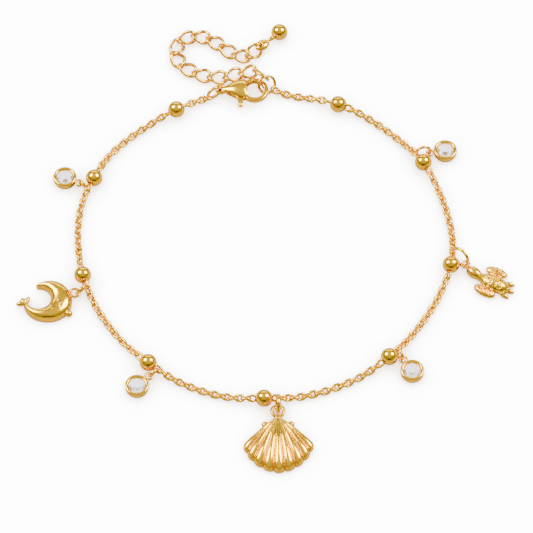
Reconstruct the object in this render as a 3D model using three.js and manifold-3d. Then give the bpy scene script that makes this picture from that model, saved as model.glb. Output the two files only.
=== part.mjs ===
// A gold charm anklet lying fastened on a flat surface: a fine cable chain with nine round beads,
// three cast charms (scallop shell, crescent dolphin, turtle) and four crystal drops on jump rings,
// a lobster clasp with a sprung lever, and an extender of twisted links that ends in a ball drop.
// Millimetres, +Z up, z = 0 is the surface, and the origin is under the middle of the whole anklet.
import * as THREE from "three";
import { mergeVertices } from "three/addons/utils/BufferGeometryUtils.js";
import Module from "manifold-3d";

const wasm = await Module();
wasm.setup();

// ---------------------------------------------------------------- driving dimensions
const CHAIN = { diameter: 1.3, sides: 8, step: 2.6 };
const BEAD = { radius: 1.5, bore: 0.5, gap: 0.12, arcSteps: 10, around: 20 };
const LIFT = { rest: 0.67, reach: 7 };
const EXTENDER = { pitch: 2.9, width: 2.95, wire: 0.44, slack: 0.16, twist: 45, links: 14 };
const DROP = { radius: 2.05, height: 1.65, seat: 1.45, loop: 0.6, loopWire: 0.4, loopZ: 1.0 };
const STONE = { girdle: 1.4, girdleZ: 1.22, table: 0.82, tableZ: 1.6, culetZ: 0.42, facets: 16 };
const CLASP = { z: 1.45, hookRadius: 2.05, hookWidth: 0.85, hookThick: 1.1, bodyThick: 2.5, slot: 1.0 };
const FIT_GAP = 0.08;
const LOOP_CENTRE = new THREE.Vector2(0, -1.3);
const Z_AXIS = new THREE.Vector3(0, 0, 1);

// The chain's route, anticlockwise from the clasp's tail ring to the ring in its hook.
// bearing: degrees round LOOP_CENTRE, radius: mm, bead: the bead threaded there, if any.
const STATIONS = [
  { bearing: 106.9, radius: 33.2 },
  { bearing: 107.9, radius: 33.2 },
  { bearing: 111.5, radius: 33.2 },
  { bearing: 119.4, radius: 32.9, bead: "bead_1" },
  { bearing: 128.0, radius: 33.2 },
  { bearing: 136.5, radius: 33.6 },
  { bearing: 145.5, radius: 34.0 },
  { bearing: 154.9, radius: 33.7, bead: "bead_2" },
  { bearing: 163.0, radius: 33.9 },
  { bearing: 171.5, radius: 33.5 },
  { bearing: 180.5, radius: 32.9 },
  { bearing: 189.8, radius: 32.5, bead: "bead_3" },
  { bearing: 200.5, radius: 31.8 },
  { bearing: 210.5, radius: 31.2 },
  { bearing: 220.0, radius: 30.8 },
  { bearing: 228.4, radius: 30.6, bead: "bead_4" },
  { bearing: 238.5, radius: 30.3 },
  { bearing: 249.5, radius: 30.1 },
  { bearing: 259.5, radius: 29.9 },
  { bearing: 269.2, radius: 29.8, bead: "bead_5" },
  { bearing: 280.5, radius: 29.7 },
  { bearing: 291.5, radius: 29.8 },
  { bearing: 302.5, radius: 30.0 },
  { bearing: 314.2, radius: 30.3, bead: "bead_6" },
  { bearing: 325.0, radius: 30.4 },
  { bearing: 335.5, radius: 30.9 },
  { bearing: 345.0, radius: 31.6 },
  { bearing: 353.9, radius: 32.4, bead: "bead_7" },
  { bearing: 363.5, radius: 32.7 },
  { bearing: 373.0, radius: 32.7 },
  { bearing: 382.5, radius: 32.8 },
  { bearing: 392.2, radius: 32.9, bead: "bead_8" },
  { bearing: 401.0, radius: 32.8 },
  { bearing: 410.0, radius: 32.7 },
  { bearing: 418.5, radius: 32.7 },
  { bearing: 426.6, radius: 32.4, bead: "bead_9" },
  { bearing: 434.0, radius: 32.4 },
  { bearing: 439.5, radius: 32.3 },
  { bearing: 443.5, radius: 32.5 },
  { bearing: 447.9, radius: 33.45 },
  { bearing: 448.8, radius: 33.75 },
];

// The extender's route from the high side of the ring in the hook, down to the surface and on to the
// ball: z is the height of the links' middles.
const EXTENDER_ROUTE = [
  { x: -0.05, y: 33.2, z: 2.7 },
  { x: -2.4, y: 35.5, z: 1.8 },
  { x: -5.2, y: 35.2, z: 1.1 },
  { x: -8.6, y: 34.4, z: 0.8 },
  { x: -11.6, y: 35.1, z: 0.8 },
  { x: -14.3, y: 36.3, z: 0.8 },
  { x: -16.2, y: 38.3, z: 0.8 },
  { x: -16.6, y: 41.0, z: 0.8 },
  { x: -14.8, y: 43.3, z: 0.8 },
  { x: -11.8, y: 43.6, z: 0.8 },
  { x: -9.1, y: 42.2, z: 0.8 },
  { x: -6.9, y: 40.3, z: 0.8 },
  { x: -4.6, y: 38.8, z: 0.8 },
  { x: -2.2, y: 39.6, z: 0.95 },
  { x: -0.8, y: 41.9, z: 1.25 },
];
const BALL_AT = new THREE.Vector2(2.35, 44.0);

// What hangs on the chain beyond each bead. along: mm of chain from the bead to the link that the
// jump ring runs through. ring and wire: the jump ring's outer diameter and wire. heading: degrees,
// the way the ring lies from the chain. lean: degrees it leans from upright. lies: degrees, the way
// the charm lies from its loop.
const HANGING = [
  {
    name: "drop_1", make: "drop", bead: "bead_2", along: 2.05, ring: 2.4, wire: 0.4,
    heading: 150, lean: 18, lies: 158,
  },
  {
    name: "dolphin", make: "dolphin", bead: "bead_3", along: 2.1, ring: 2.75, wire: 0.46,
    heading: 224, lean: 20, lies: 200,
  },
  {
    name: "drop_2", make: "drop", bead: "bead_4", along: 2.0, ring: 2.3, wire: 0.4,
    heading: 224, lean: 18, lies: 224,
  },
  {
    name: "shell", make: "shell", bead: "bead_5", along: 2.35, ring: 3.5, wire: 0.6,
    heading: 271, lean: 4, lies: -89,
  },
  {
    name: "drop_3", make: "drop", bead: "bead_6", along: 2.0, ring: 2.3, wire: 0.4,
    heading: 300, lean: 6, lies: -57,
  },
  {
    name: "turtle", make: "turtle", bead: "bead_7", along: 2.3, ring: 4.0, wire: 0.44,
    heading: 317, lean: 12, lies: -28.5,
  },
  {
    name: "drop_4", make: "drop", bead: "bead_8", along: 2.2, ring: 3.1, wire: 0.42,
    heading: 12, lean: 8, lies: 8,
  },
];

// ---------------------------------------------------------------- materials and small helpers
const gold = () => new THREE.MeshStandardMaterial({ color: 0xe9b544, metalness: 1, roughness: 0.18 });
const crystal = () => new THREE.MeshStandardMaterial({ color: 0xf3f0f6, metalness: 0, roughness: 0.03 });
const radians = THREE.MathUtils.degToRad;

function solidOf(geometry) {
  const bare = geometry.clone();
  bare.deleteAttribute("normal");
  bare.deleteAttribute("uv");
  const merged = mergeVertices(bare, 1e-4);
  const count = merged.attributes.position.count;
  const triVerts = merged.index ? merged.index.array : Uint32Array.from({ length: count }, (_, i) => i);
  return new wasm.Manifold(
    new wasm.Mesh({
      numProp: 3,
      vertProperties: new Float32Array(merged.attributes.position.array),
      triVerts: new Uint32Array(triVerts),
    }),
  );
}

function geometryOf(solid) {
  const mesh = solid.getMesh();
  const geometry = new THREE.BufferGeometry();
  geometry.setAttribute("position", new THREE.BufferAttribute(mesh.vertProperties, 3));
  geometry.setIndex(new THREE.BufferAttribute(mesh.triVerts, 1));
  geometry.computeVertexNormals();
  return geometry;
}

function joined(geometries) {
  return geometries.map(solidOf).reduce((sum, next) => sum.add(next));
}

// A round-wire ring on the z axis of its own frame.
function roundRing(outer, wire, sides = 6, around = 20) {
  return new THREE.TorusGeometry((outer - wire) / 2, wire / 2, sides, around);
}

function ellipsoid(size, place, yaw = 0, around = 16, rows = 10) {
  const ball = new THREE.SphereGeometry(1, around, rows);
  ball.rotateX(Math.PI / 2);
  ball.scale(size.x, size.y, size.z);
  ball.rotateZ(radians(yaw));
  ball.translate(place.x, place.y, place.z);
  return ball;
}

// A closed body lofted through rings of points of equal length, with a fan of triangles at each end.
function loft(rings) {
  const around = rings[0].length;
  const points = rings.flat();
  const index = [];
  for (let i = 0; i < rings.length - 1; i += 1) {
    for (let j = 0; j < around; j += 1) {
      const next = (j + 1) % around;
      const [a, b] = [i * around + j, i * around + next];
      index.push(a, b, a + around, b, b + around, a + around);
    }
  }
  const last = (rings.length - 1) * around;
  for (let j = 1; j < around - 1; j += 1) {
    index.push(0, j + 1, j);
    index.push(last, last + j, last + j + 1);
  }
  return new THREE.BufferGeometry().setFromPoints(points).setIndex(index);
}

function named(name, geometry, material = gold()) {
  const mesh = new THREE.Mesh(geometry, material);
  mesh.name = name;
  return mesh;
}

// ---------------------------------------------------------------- the chain's route
// Points along a route by the distance walked on it.
class Walk {
  constructor(points) {
    this.points = points;
    this.walked = [0];
    for (let i = 1; i < points.length; i += 1) {
      this.walked.push(this.walked[i - 1] + points[i].distanceTo(points[i - 1]));
    }
    this.length = this.walked[points.length - 1];
  }

  at(distance) {
    const s = THREE.MathUtils.clamp(distance, 0, this.length - 1e-6);
    let i = this.walked.findIndex((w) => w > s);
    i = Math.max(i, 1);
    const share = (s - this.walked[i - 1]) / (this.walked[i] - this.walked[i - 1]);
    return this.points[i - 1].clone().lerp(this.points[i], share);
  }

  tangent(distance) {
    return this.at(distance + 0.05).sub(this.at(distance - 0.05)).normalize();
  }
}

// A stretch of a walk as a three.js curve, for ExtrudeGeometry.
class Stretch extends THREE.Curve {
  constructor(walk, from, to) {
    super();
    Object.assign(this, { walk, from, to });
  }

  getPoint(t) {
    return this.walk.at(this.from + (this.to - this.from) * t);
  }
}

function smoothWalk(points, perSpan = 24) {
  const curve = new THREE.CatmullRomCurve3(points, false, "catmullrom", 0.5);
  const count = (points.length - 1) * perSpan;
  return Array.from({ length: count + 1 }, (_, i) => curve.getPoint(i / count));
}

const PER_SPAN = 24;
const flatRoute = new Walk(
  smoothWalk(
    STATIONS.map(
      ({ bearing, radius }) =>
        new THREE.Vector3(
          LOOP_CENTRE.x + radius * Math.cos(radians(bearing)),
          LOOP_CENTRE.y + radius * Math.sin(radians(bearing)),
          0,
        ),
    ),
    PER_SPAN,
  ),
);
const beadStops = STATIONS.flatMap((station, i) =>
  station.bead ? [{ name: station.bead, s: flatRoute.walked[i * PER_SPAN] }] : [],
);

// The chain rests on the surface, and climbs to the middle of each bead.
function chainHeight(s) {
  const nearest = Math.min(...beadStops.map((bead) => Math.abs(bead.s - s)));
  const near = 1 - Math.min(nearest / LIFT.reach, 1);
  return LIFT.rest + (BEAD.radius - LIFT.rest) * THREE.MathUtils.smoothstep(near, 0, 1);
}

const route = new Walk(
  flatRoute.points.map((p, i) => new THREE.Vector3(p.x, p.y, chainHeight(flatRoute.walked[i]))),
);
for (const bead of beadStops) {
  const station = STATIONS.findIndex((entry) => entry.bead === bead.name);
  bead.s = route.walked[station * PER_SPAN];
}

// ---------------------------------------------------------------- chain and beads
function chainTube(from, to) {
  const section = new THREE.Shape();
  for (let i = 0; i < CHAIN.sides; i += 1) {
    const angle = ((i + 0.5) * 2 * Math.PI) / CHAIN.sides;
    const [x, y] = [Math.cos(angle), Math.sin(angle)].map((c) => (c * CHAIN.diameter) / 2);
    if (i === 0) section.moveTo(x, y);
    else section.lineTo(x, y);
  }
  section.closePath();
  const steps = Math.max(2, Math.ceil((to - from) / CHAIN.step));
  return new THREE.ExtrudeGeometry(section, { steps, extrudePath: new Stretch(route, from, to) });
}

// A run of chain, with room in its links for the wires of the rings that run through it.
function chainRun(from, to, rings) {
  const tube = solidOf(chainTube(from, to));
  const middle = route.at((from + to) / 2);
  const near = rings.filter((ring) => ring.position.distanceTo(middle) < (to - from) / 2 + 3);
  if (near.length === 0) return chainTube(from, to);
  const holes = near.map(({ outer, wire, position, quaternion }) => {
    const middleWidth = outer - wire;
    const room = wire + 2 * FIT_GAP;
    const fat = roundRing(middleWidth + room, room, 8, 24).applyQuaternion(quaternion);
    return solidOf(fat.translate(position.x, position.y, position.z));
  });
  return geometryOf(holes.reduce((solid, hole) => solid.subtract(hole), tube));
}

function beadGeometry() {
  const first = Math.asin(BEAD.bore / BEAD.radius);
  const profile = Array.from({ length: BEAD.arcSteps + 1 }, (_, i) => {
    const a = first + ((Math.PI - 2 * first) * i) / BEAD.arcSteps;
    return new THREE.Vector2(BEAD.radius * Math.sin(a), -BEAD.radius * Math.cos(a));
  });
  profile.push(profile[0].clone());
  return new THREE.LatheGeometry(profile, BEAD.around);
}

function placeBead({ name, s }) {
  const bead = named(name, beadGeometry());
  const level = route.tangent(s).setZ(0).normalize();
  bead.quaternion.setFromUnitVectors(new THREE.Vector3(0, 1, 0), level);
  bead.position.copy(route.at(s)).setZ(BEAD.radius);
  return bead;
}

// ---------------------------------------------------------------- lobster clasp
// The clasp's own frame: origin at the middle of the hook's opening, +X away from the tail,
// +Y to the gate's side, z = 0 the middle of its thickness.
const PIVOT = new THREE.Vector2(-2.7, -0.2);
const SEAM_RADIUS = 3.1;
const TAIL_X = -6.15;

function annulusSector(inner, outer, fromDegrees, toDegrees, thick, bevel) {
  const [a, b] = [radians(fromDegrees), radians(toDegrees)];
  const [low, high] = [inner + bevel, outer - bevel];
  const shape = new THREE.Shape();
  shape.absarc(0, 0, high, a, b, false);
  shape.absarc(0, 0, low, b, a, true);
  shape.closePath();
  const depth = thick - 2 * bevel;
  const options = { depth, curveSegments: 20, bevelEnabled: true, bevelSegments: 2 };
  const sector = new THREE.ExtrudeGeometry(shape, { ...options, bevelThickness: bevel, bevelSize: bevel });
  sector.translate(0, 0, -depth / 2);
  return sector;
}

function drum(radius, height, x, y, around = 24) {
  const geometry = new THREE.CylinderGeometry(radius, radius, height, around);
  geometry.rotateX(Math.PI / 2);
  geometry.translate(x, y, 0);
  return geometry;
}

function slab(points, thick) {
  const shape = new THREE.Shape(points.map(([x, y]) => new THREE.Vector2(x, y)));
  const geometry = new THREE.ExtrudeGeometry(shape, { depth: thick, bevelEnabled: false });
  geometry.translate(0, 0, -thick / 2);
  return geometry;
}

// Teardrop housing: sections across the clasp's length. x: place, back and front: the edges in y,
// thick: its share of bodyThick.
const HOUSING = [
  { x: -5.75, back: 0.4, front: -0.5, thick: 0.36 },
  { x: -5.2, back: 0.75, front: -0.8, thick: 0.52 },
  { x: -4.4, back: 1.4, front: -1.25, thick: 0.78 },
  { x: -3.4, back: 2.0, front: -1.7, thick: 0.95 },
  { x: -2.5, back: 2.3, front: -2.0, thick: 1.0 },
  { x: -1.7, back: 2.25, front: -2.1, thick: 0.9 },
  { x: -1.1, back: 1.8, front: -2.0, thick: 0.66 },
];

function housing(swell = 1) {
  const around = 16;
  const rings = HOUSING.map(({ x, back, front, thick }) =>
    Array.from({ length: around }, (_, i) => {
      const a = (i * 2 * Math.PI) / around;
      const y = (back + front) / 2 + ((back - front) / 2) * swell * Math.cos(a);
      return new THREE.Vector3(x, y, ((thick * swell * CLASP.bodyThick) / 2) * Math.sin(a));
    }),
  );
  return loft(rings);
}

function hookSector(fromDegrees, toDegrees) {
  const inner = CLASP.hookRadius - CLASP.hookWidth / 2;
  const outer = CLASP.hookRadius + CLASP.hookWidth / 2;
  return annulusSector(inner, outer, fromDegrees, toDegrees, CLASP.hookThick, 0.28);
}

function claspBody() {
  const slotArea = [[-4.85, -4], [-1.75, -4], [-1.75, -1.2], [-0.2, 0], [-0.2, 3], [-4.85, 3]];
  const opening = drum(CLASP.hookRadius - CLASP.hookWidth / 2, 4, 0, 0);
  const seamTool = solidOf(drum(SEAM_RADIUS, 4, PIVOT.x, PIVOT.y, 48)).subtract(
    solidOf(slab([[-9, -9], [9, -9], [9, 0.6], [-9, 0.6]], 6)),
  );
  const hook = solidOf(hookSector(-128, 128)).subtract(seamTool);
  const tail = solidOf(roundRing(2.1, 0.62, 8, 20).scale(1, 1, 1.5).translate(TAIL_X, 0, 0));
  const pin = solidOf(drum(0.3, 1.6, PIVOT.x, PIVOT.y, 12));
  return solidOf(housing())
    .subtract(solidOf(opening))
    .subtract(solidOf(slab(slotArea, CLASP.slot)))
    .add(hook)
    .add(tail)
    .add(pin);
}

// The lever: a plate in the housing's slot, the trigger at the front and the gate at the back.
const LEVER_OUTLINE = [
  [-4.3, -0.6], [-4.25, -1.1], [-3.4, -1.5], [-3.05, -1.9], [-2.8, -3.3], [-2.6, -3.55],
  [-2.2, -3.5], [-2.0, -3.2], [-2.05, -1.3], [-1.5, 0.4], [-1.45, 1.3], [-1.9, 1.9], [-2.6, 1.3],
  [-3.4, 0.3],
];

function claspLever() {
  const plate = CLASP.slot - 0.2;
  const gate = solidOf(drum(SEAM_RADIUS - 0.1, 4, PIVOT.x, PIVOT.y, 48)).intersect(
    solidOf(hookSector(100, 160)),
  );
  const inSlot = gate.intersect(solidOf(slab([[-4, 0], [1, 0], [1, 4], [-4, 4]], plate)));
  return solidOf(slab(LEVER_OUTLINE, plate))
    .add(inSlot)
    .add(gate.subtract(solidOf(housing(1.05))).subtract(solidOf(housing(1.05).translate(0.08, 0, 0))))
    .subtract(solidOf(drum(0.4, 3, PIVOT.x, PIVOT.y, 16)));
}

const HOOK_CENTRE = new THREE.Vector3(-2.1, 31.4, CLASP.z);
const CLASP_YAW = radians(-2.2);

function claspPoint(x, y, z = 0) {
  return new THREE.Vector3(x, y, z).applyAxisAngle(Z_AXIS, CLASP_YAW).add(HOOK_CENTRE);
}

// ---------------------------------------------------------------- rings
// A ring given by its centre and two directions in its plane.
function ringInPlane(name, { outer, wire }, centre, first, second) {
  const ring = named(name, roundRing(outer, wire, 8, 24));
  const normal = new THREE.Vector3().crossVectors(first, second).normalize();
  const level = first.clone().normalize();
  const third = new THREE.Vector3().crossVectors(normal, level);
  ring.quaternion.setFromRotationMatrix(new THREE.Matrix4().makeBasis(level, third, normal));
  ring.position.copy(centre);
  return Object.assign(ring, { outer, wire });
}

function bearing(degrees) {
  return new THREE.Vector3(Math.cos(radians(degrees)), Math.sin(radians(degrees)), 0);
}

// The ring between the clasp's tail and the chain stands upright through the tail's hole.
const TAIL_RING = { outer: 3.2, wire: 0.45, heading: 213 };
// The ring in the hook lies low on the chain's side and rises over the hook to the extender.
const HOOK_RING = { outer: 3.65, wire: 0.42, heading: 28, reach: 2.45, tilt: 48, z: 1.7 };

function tailRing() {
  const out = bearing(TAIL_RING.heading);
  const middle = (TAIL_RING.outer - TAIL_RING.wire) / 2;
  const centre = claspPoint(TAIL_X, 0).addScaledVector(out, middle).setZ(TAIL_RING.outer / 2 + 0.01);
  return ringInPlane("tail_ring", TAIL_RING, centre, out, Z_AXIS);
}

function hookRing() {
  const out = bearing(HOOK_RING.heading);
  const low = bearing(HOOK_RING.heading - 90)
    .multiplyScalar(Math.cos(radians(HOOK_RING.tilt)))
    .addScaledVector(Z_AXIS, -Math.sin(radians(HOOK_RING.tilt)));
  const centre = HOOK_CENTRE.clone().addScaledVector(out, HOOK_RING.reach).setZ(HOOK_RING.z);
  return ringInPlane("hook_ring", HOOK_RING, centre, out, low);
}

// ---------------------------------------------------------------- extender
const extenderWalk = new Walk(
  smoothWalk(EXTENDER_ROUTE.map(({ x, y, z }) => new THREE.Vector3(x, y, z))),
);

// One twisted link between two contact points: the wire crosses its neighbours at startTwist and
// endTwist degrees from level.
function twistedLink(from, to, startTwist, endTwist) {
  const along = to.clone().sub(from);
  const reach = along.length() / 2 + EXTENDER.wire / 2 + EXTENDER.slack / 2;
  along.normalize();
  const level = new THREE.Vector3().crossVectors(Z_AXIS, along).normalize();
  const upright = new THREE.Vector3().crossVectors(along, level);
  const middle = from.clone().lerp(to, 0.5);
  const half = (EXTENDER.width - EXTENDER.wire) / 2;
  const points = Array.from({ length: 20 }, (_, i) => {
    const a = (i * Math.PI) / 10;
    const twist = radians(THREE.MathUtils.lerp(startTwist, endTwist, (1 + Math.cos(a)) / 2));
    return middle
      .clone()
      .addScaledVector(along, reach * Math.cos(a))
      .addScaledVector(level, half * Math.sin(a) * Math.cos(twist))
      .addScaledVector(upright, half * Math.sin(a) * Math.sin(twist));
  });
  const curve = new THREE.CatmullRomCurve3(points, true);
  return new THREE.TubeGeometry(curve, 20, EXTENDER.wire / 2, 6, true);
}

function extenderLinks() {
  return Array.from({ length: EXTENDER.links }, (_, i) => {
    const [from, to] = [i * EXTENDER.pitch, (i + 1) * EXTENDER.pitch].map((s) => extenderWalk.at(s));
    const startTwist = i === 0 ? 70 : -EXTENDER.twist;
    const endTwist = i === EXTENDER.links - 1 ? 65 : EXTENDER.twist;
    return named(`extender_link_${i + 1}`, twistedLink(from, to, startTwist, endTwist));
  });
}

// The ball, its neck and the leaf-shaped bail that the last link runs through, cast as one.
function endDrop() {
  const start = extenderWalk.at(EXTENDER.links * EXTENDER.pitch);
  const toBall = BALL_AT.clone().sub(new THREE.Vector2(start.x, start.y));
  const [leafLength, leafWidth, leafThick, hole] = [2.9, 2.1, 1.3, 0.45];
  const leafMiddle = leafLength / 2 - 2 * hole + 0.12;
  const ballRadius = 1.5;
  const [neckFrom, neckTo] = [leafMiddle + leafLength / 2 - 0.5, toBall.length() - ballRadius + 0.3];
  const solid = joined([
    ellipsoid(
      { x: leafLength / 2, y: leafWidth / 2, z: leafThick / 2 },
      { x: leafMiddle, y: 0, z: start.z },
    ),
    ellipsoid(
      { x: ballRadius, y: ballRadius, z: ballRadius },
      { x: toBall.length(), y: 0, z: ballRadius },
      0,
      20,
      14,
    ),
    new THREE.CylinderGeometry(0.4, 0.4, neckTo - neckFrom, 12)
      .rotateZ(Math.PI / 2)
      .translate((neckFrom + neckTo) / 2, 0, start.z),
  ]).subtract(solidOf(drum(hole, 4, 0.12, 0, 14)));
  const drop = named("end_drop", geometryOf(solid));
  drop.rotation.z = toBall.angle();
  drop.position.set(start.x, start.y, 0);
  return drop;
}

// ---------------------------------------------------------------- crystal drop
// Frames of all hanging pieces: origin at the loop's hole, lying along +X, z = 0 on the surface.
function dropSetting() {
  const { radius, height, seat } = DROP;
  const profile = [
    [0, 0],
    [radius - 0.5, 0],
    [radius - 0.12, 0.3],
    [radius, 0.8],
    [radius, height - 0.3],
    [radius - 0.14, height - 0.04],
    [radius - 0.32, height],
    [seat + 0.04, height - 0.1],
    [seat, height - 0.25],
    [seat, 1.0],
    [0, 0.28],
  ].map(([r, z]) => new THREE.Vector2(r, z));
  const cup = new THREE.LatheGeometry(profile, 24).rotateX(Math.PI / 2);
  cup.translate(dropMiddle(), 0, 0);
  const loop = roundRing(2 * DROP.loop + DROP.loopWire, DROP.loopWire, 6, 16).translate(0, 0, DROP.loopZ);
  return geometryOf(joined([cup, loop]));
}

function dropMiddle() {
  return DROP.loop + DROP.radius + 0.1;
}

// A shallow round brilliant: table, girdle and point, each facet ring turned half a facet.
function stoneGeometry() {
  const ring = (radius, z, count, turn) =>
    Array.from({ length: STONE.facets }, (_, i) => {
      const a = ((i + turn) * 2 * Math.PI) / count;
      return new THREE.Vector3(radius * Math.cos(a), radius * Math.sin(a), z);
    });
  const rings = [
    ring(0.05, STONE.culetZ, STONE.facets, 0),
    ring(STONE.girdle, STONE.girdleZ - 0.05, STONE.facets, 0),
    ring(STONE.girdle, STONE.girdleZ + 0.03, STONE.facets, 0),
    ring(STONE.table, STONE.tableZ, STONE.facets, 0),
  ];
  return loft(rings).translate(dropMiddle(), 0, 0);
}

// ---------------------------------------------------------------- scallop shell
const SHELL = {
  ribs: 9,
  halfAngle: radians(49),
  length: 10.7,
  side: 8.1,
  lobe: 0.42,
  edge: 0.75,
  dome: 1.45,
  rib: 0.34,
  loop: 1.0,
  loopWire: 0.66,
  loopZ: 0.95,
};

// Where the ribs crest: 1 on a crest and 0 in a valley.
function ribCrest(share) {
  const within = (share * SHELL.ribs) % 1;
  return Math.sqrt(Math.max(0, 1 - (2 * within - 1) ** 2));
}

function shellGeometry() {
  const [columns, rows] = [SHELL.ribs * 4, 9];
  const apex = SHELL.loop - 0.15;
  const outline = (share) => {
    const lean = Math.abs(2 * share - 1);
    return SHELL.length - (SHELL.length - SHELL.side) * lean ** 1.6 + SHELL.lobe * (ribCrest(share) - 1);
  };
  const top = (share, out) => {
    const lean = 2 * share - 1;
    const rise = Math.min(1, 0.55 + 1.2 * out) * Math.sqrt(Math.max(0, 1 - out ** 4));
    const dome = SHELL.dome * rise * Math.sqrt(1 - 0.7 * lean * lean);
    return SHELL.edge + dome + SHELL.rib * (ribCrest(share) - 0.5) * out * (1 - 0.55 * out ** 6);
  };
  const rings = Array.from({ length: columns + 1 }, (_, i) => {
    const share = i / columns;
    const angle = SHELL.halfAngle * (2 * share - 1);
    const at = (out, z) =>
      new THREE.Vector3(
        apex + (0.55 + (outline(share) - 0.55) * out) * Math.cos(angle),
        (0.55 + (outline(share) - 0.55) * out) * Math.sin(angle),
        z,
      );
    const upper = Array.from({ length: rows + 1 }, (__, j) => at(j / rows, top(share, j / rows)));
    return [at(0, 0), ...upper, at(1, SHELL.edge * 0.45), at(0.985, 0)];
  });
  const body = loft(rings);
  const outer = 2 * SHELL.loop + SHELL.loopWire;
  const loop = roundRing(outer, SHELL.loopWire, 8, 20).translate(0, 0, SHELL.loopZ);
  const ears = [-1, 1].map((side) =>
    ellipsoid({ x: 0.62, y: 0.62, z: 0.55 }, { x: apex + 1.55, y: side * 2.2, z: 0.56 }, 0, 12, 8),
  );
  return geometryOf(joined([body, loop, ...ears]));
}

// ---------------------------------------------------------------- crescent dolphin
const DOLPHIN = {
  outer: 3.95,
  tailReach: 0.55,
  bite: { x: -1.88, y: 0.5, radius: 2.13 },
  outerFrom: 128,
  outerTo: -168,
  biteFrom: 97,
  biteTo: -158,
  edge: 0.8,
  dome: 1.3,
  loop: 0.8,
  loopWire: 0.48,
  loopZ: 0.95,
  loopAt: { x: 4.4, y: 1.57 },
};

// The crescent between an outer curve and a smaller circle bitten out of it, domed on top.
function crescent() {
  const [slices, across] = [20, 6];
  const { bite } = DOLPHIN;
  const rings = Array.from({ length: slices + 1 }, (_, i) => {
    const t = i / slices;
    const outerAngle = radians(THREE.MathUtils.lerp(DOLPHIN.outerFrom, DOLPHIN.outerTo, t));
    const biteAngle = radians(THREE.MathUtils.lerp(DOLPHIN.biteFrom, DOLPHIN.biteTo, t));
    const reach = DOLPHIN.outer + DOLPHIN.tailReach * THREE.MathUtils.smoothstep(t, 0.72, 1);
    const outer = new THREE.Vector2(Math.cos(outerAngle), Math.sin(outerAngle)).multiplyScalar(reach);
    const inner = new THREE.Vector2(Math.cos(biteAngle), Math.sin(biteAngle))
      .multiplyScalar(bite.radius)
      .add(bite);
    const width = outer.distanceTo(inner);
    const height = DOLPHIN.dome * Math.min(1, 0.3 + width / 4.5);
    const at = (share, z) => {
      const point = inner.clone().lerp(outer, share);
      return new THREE.Vector3(point.x, point.y, z);
    };
    const top = Array.from({ length: across + 1 }, (__, j) => {
      const share = j / across;
      return at(share, DOLPHIN.edge + height * Math.sqrt(1 - (2 * share - 1) ** 2));
    });
    return [at(0, 0.12), ...top, at(1, 0.12), at(0.94, 0), at(0.06, 0)];
  });
  return loft(rings.reverse());
}

function dolphinGeometry() {
  const { x, y } = DOLPHIN.loopAt;
  const loop = roundRing(2 * DOLPHIN.loop + DOLPHIN.loopWire, DOLPHIN.loopWire, 8, 18);
  const solid = joined([
    crescent(),
    ellipsoid({ x: 0.75, y: 0.66, z: 0.62 }, { x: 3.4, y: -2.4, z: 0.72 }, -34, 12, 8),
    ellipsoid({ x: 0.95, y: 0.52, z: 0.5 }, { x: -4.85, y: -0.45, z: 0.8 }, 10, 12, 8),
    ellipsoid({ x: 0.85, y: 0.42, z: 0.5 }, { x: -3.85, y: 0.05, z: 0.85 }, 66, 12, 8),
    ellipsoid({ x: 0.75, y: 0.5, z: 0.5 }, { x: -4.5, y: -0.1, z: 0.8 }, 112, 12, 8),
    loop.translate(x, y, DOLPHIN.loopZ),
  ]);
  const geometry = geometryOf(trimmed(solid));
  return geometry.translate(-x, -y, 0).rotateZ(Math.PI - Math.atan2(y, x));
}

// Cuts off what lies under the surface.
function trimmed(solid) {
  return solid.subtract(solidOf(new THREE.BoxGeometry(40, 40, 4).translate(0, 0, -2)));
}

// ---------------------------------------------------------------- turtle
// Head first from its loop along +X. size: half lengths, at: place of the middle, yaw: degrees.
const TURTLE = [
  { size: { x: 1.5, y: 1.0, z: 1.0 }, at: { x: 2.0, y: -0.7, z: 0.75 }, yaw: -8 },
  { size: { x: 1.6, y: 0.75, z: 0.8 }, at: { x: 3.4, y: -0.9, z: 0.7 }, yaw: 0 },
  { size: { x: 2.7, y: 1.55, z: 1.3 }, at: { x: 6.0, y: -0.95, z: 0.65 }, yaw: 0 },
  { size: { x: 2.0, y: 0.95, z: 0.65 }, at: { x: 5.4, y: 1.35, z: 0.6 }, yaw: 4 },
  { size: { x: 2.05, y: 1.0, z: 0.65 }, at: { x: 5.2, y: -3.0, z: 0.6 }, yaw: -4 },
  { size: { x: 1.35, y: 0.52, z: 0.55 }, at: { x: 8.1, y: 0.1, z: 0.5 }, yaw: 22 },
  { size: { x: 1.4, y: 0.52, z: 0.55 }, at: { x: 8.2, y: -1.95, z: 0.5 }, yaw: -18 },
  { size: { x: 1.3, y: 0.5, z: 0.55 }, at: { x: 8.6, y: -0.9, z: 0.5 }, yaw: 0 },
];
const TURTLE_LOOP = { radius: 0.66, wire: 0.42, z: 0.95 };

function turtleGeometry() {
  const { radius, wire, z } = TURTLE_LOOP;
  const limbs = TURTLE.map(({ size, at, yaw }) => ellipsoid(size, at, yaw, 14, 8));
  const loop = roundRing(2 * radius + wire, wire, 6, 16).translate(0, 0, z);
  return geometryOf(trimmed(joined([...limbs, loop])));
}

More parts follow.
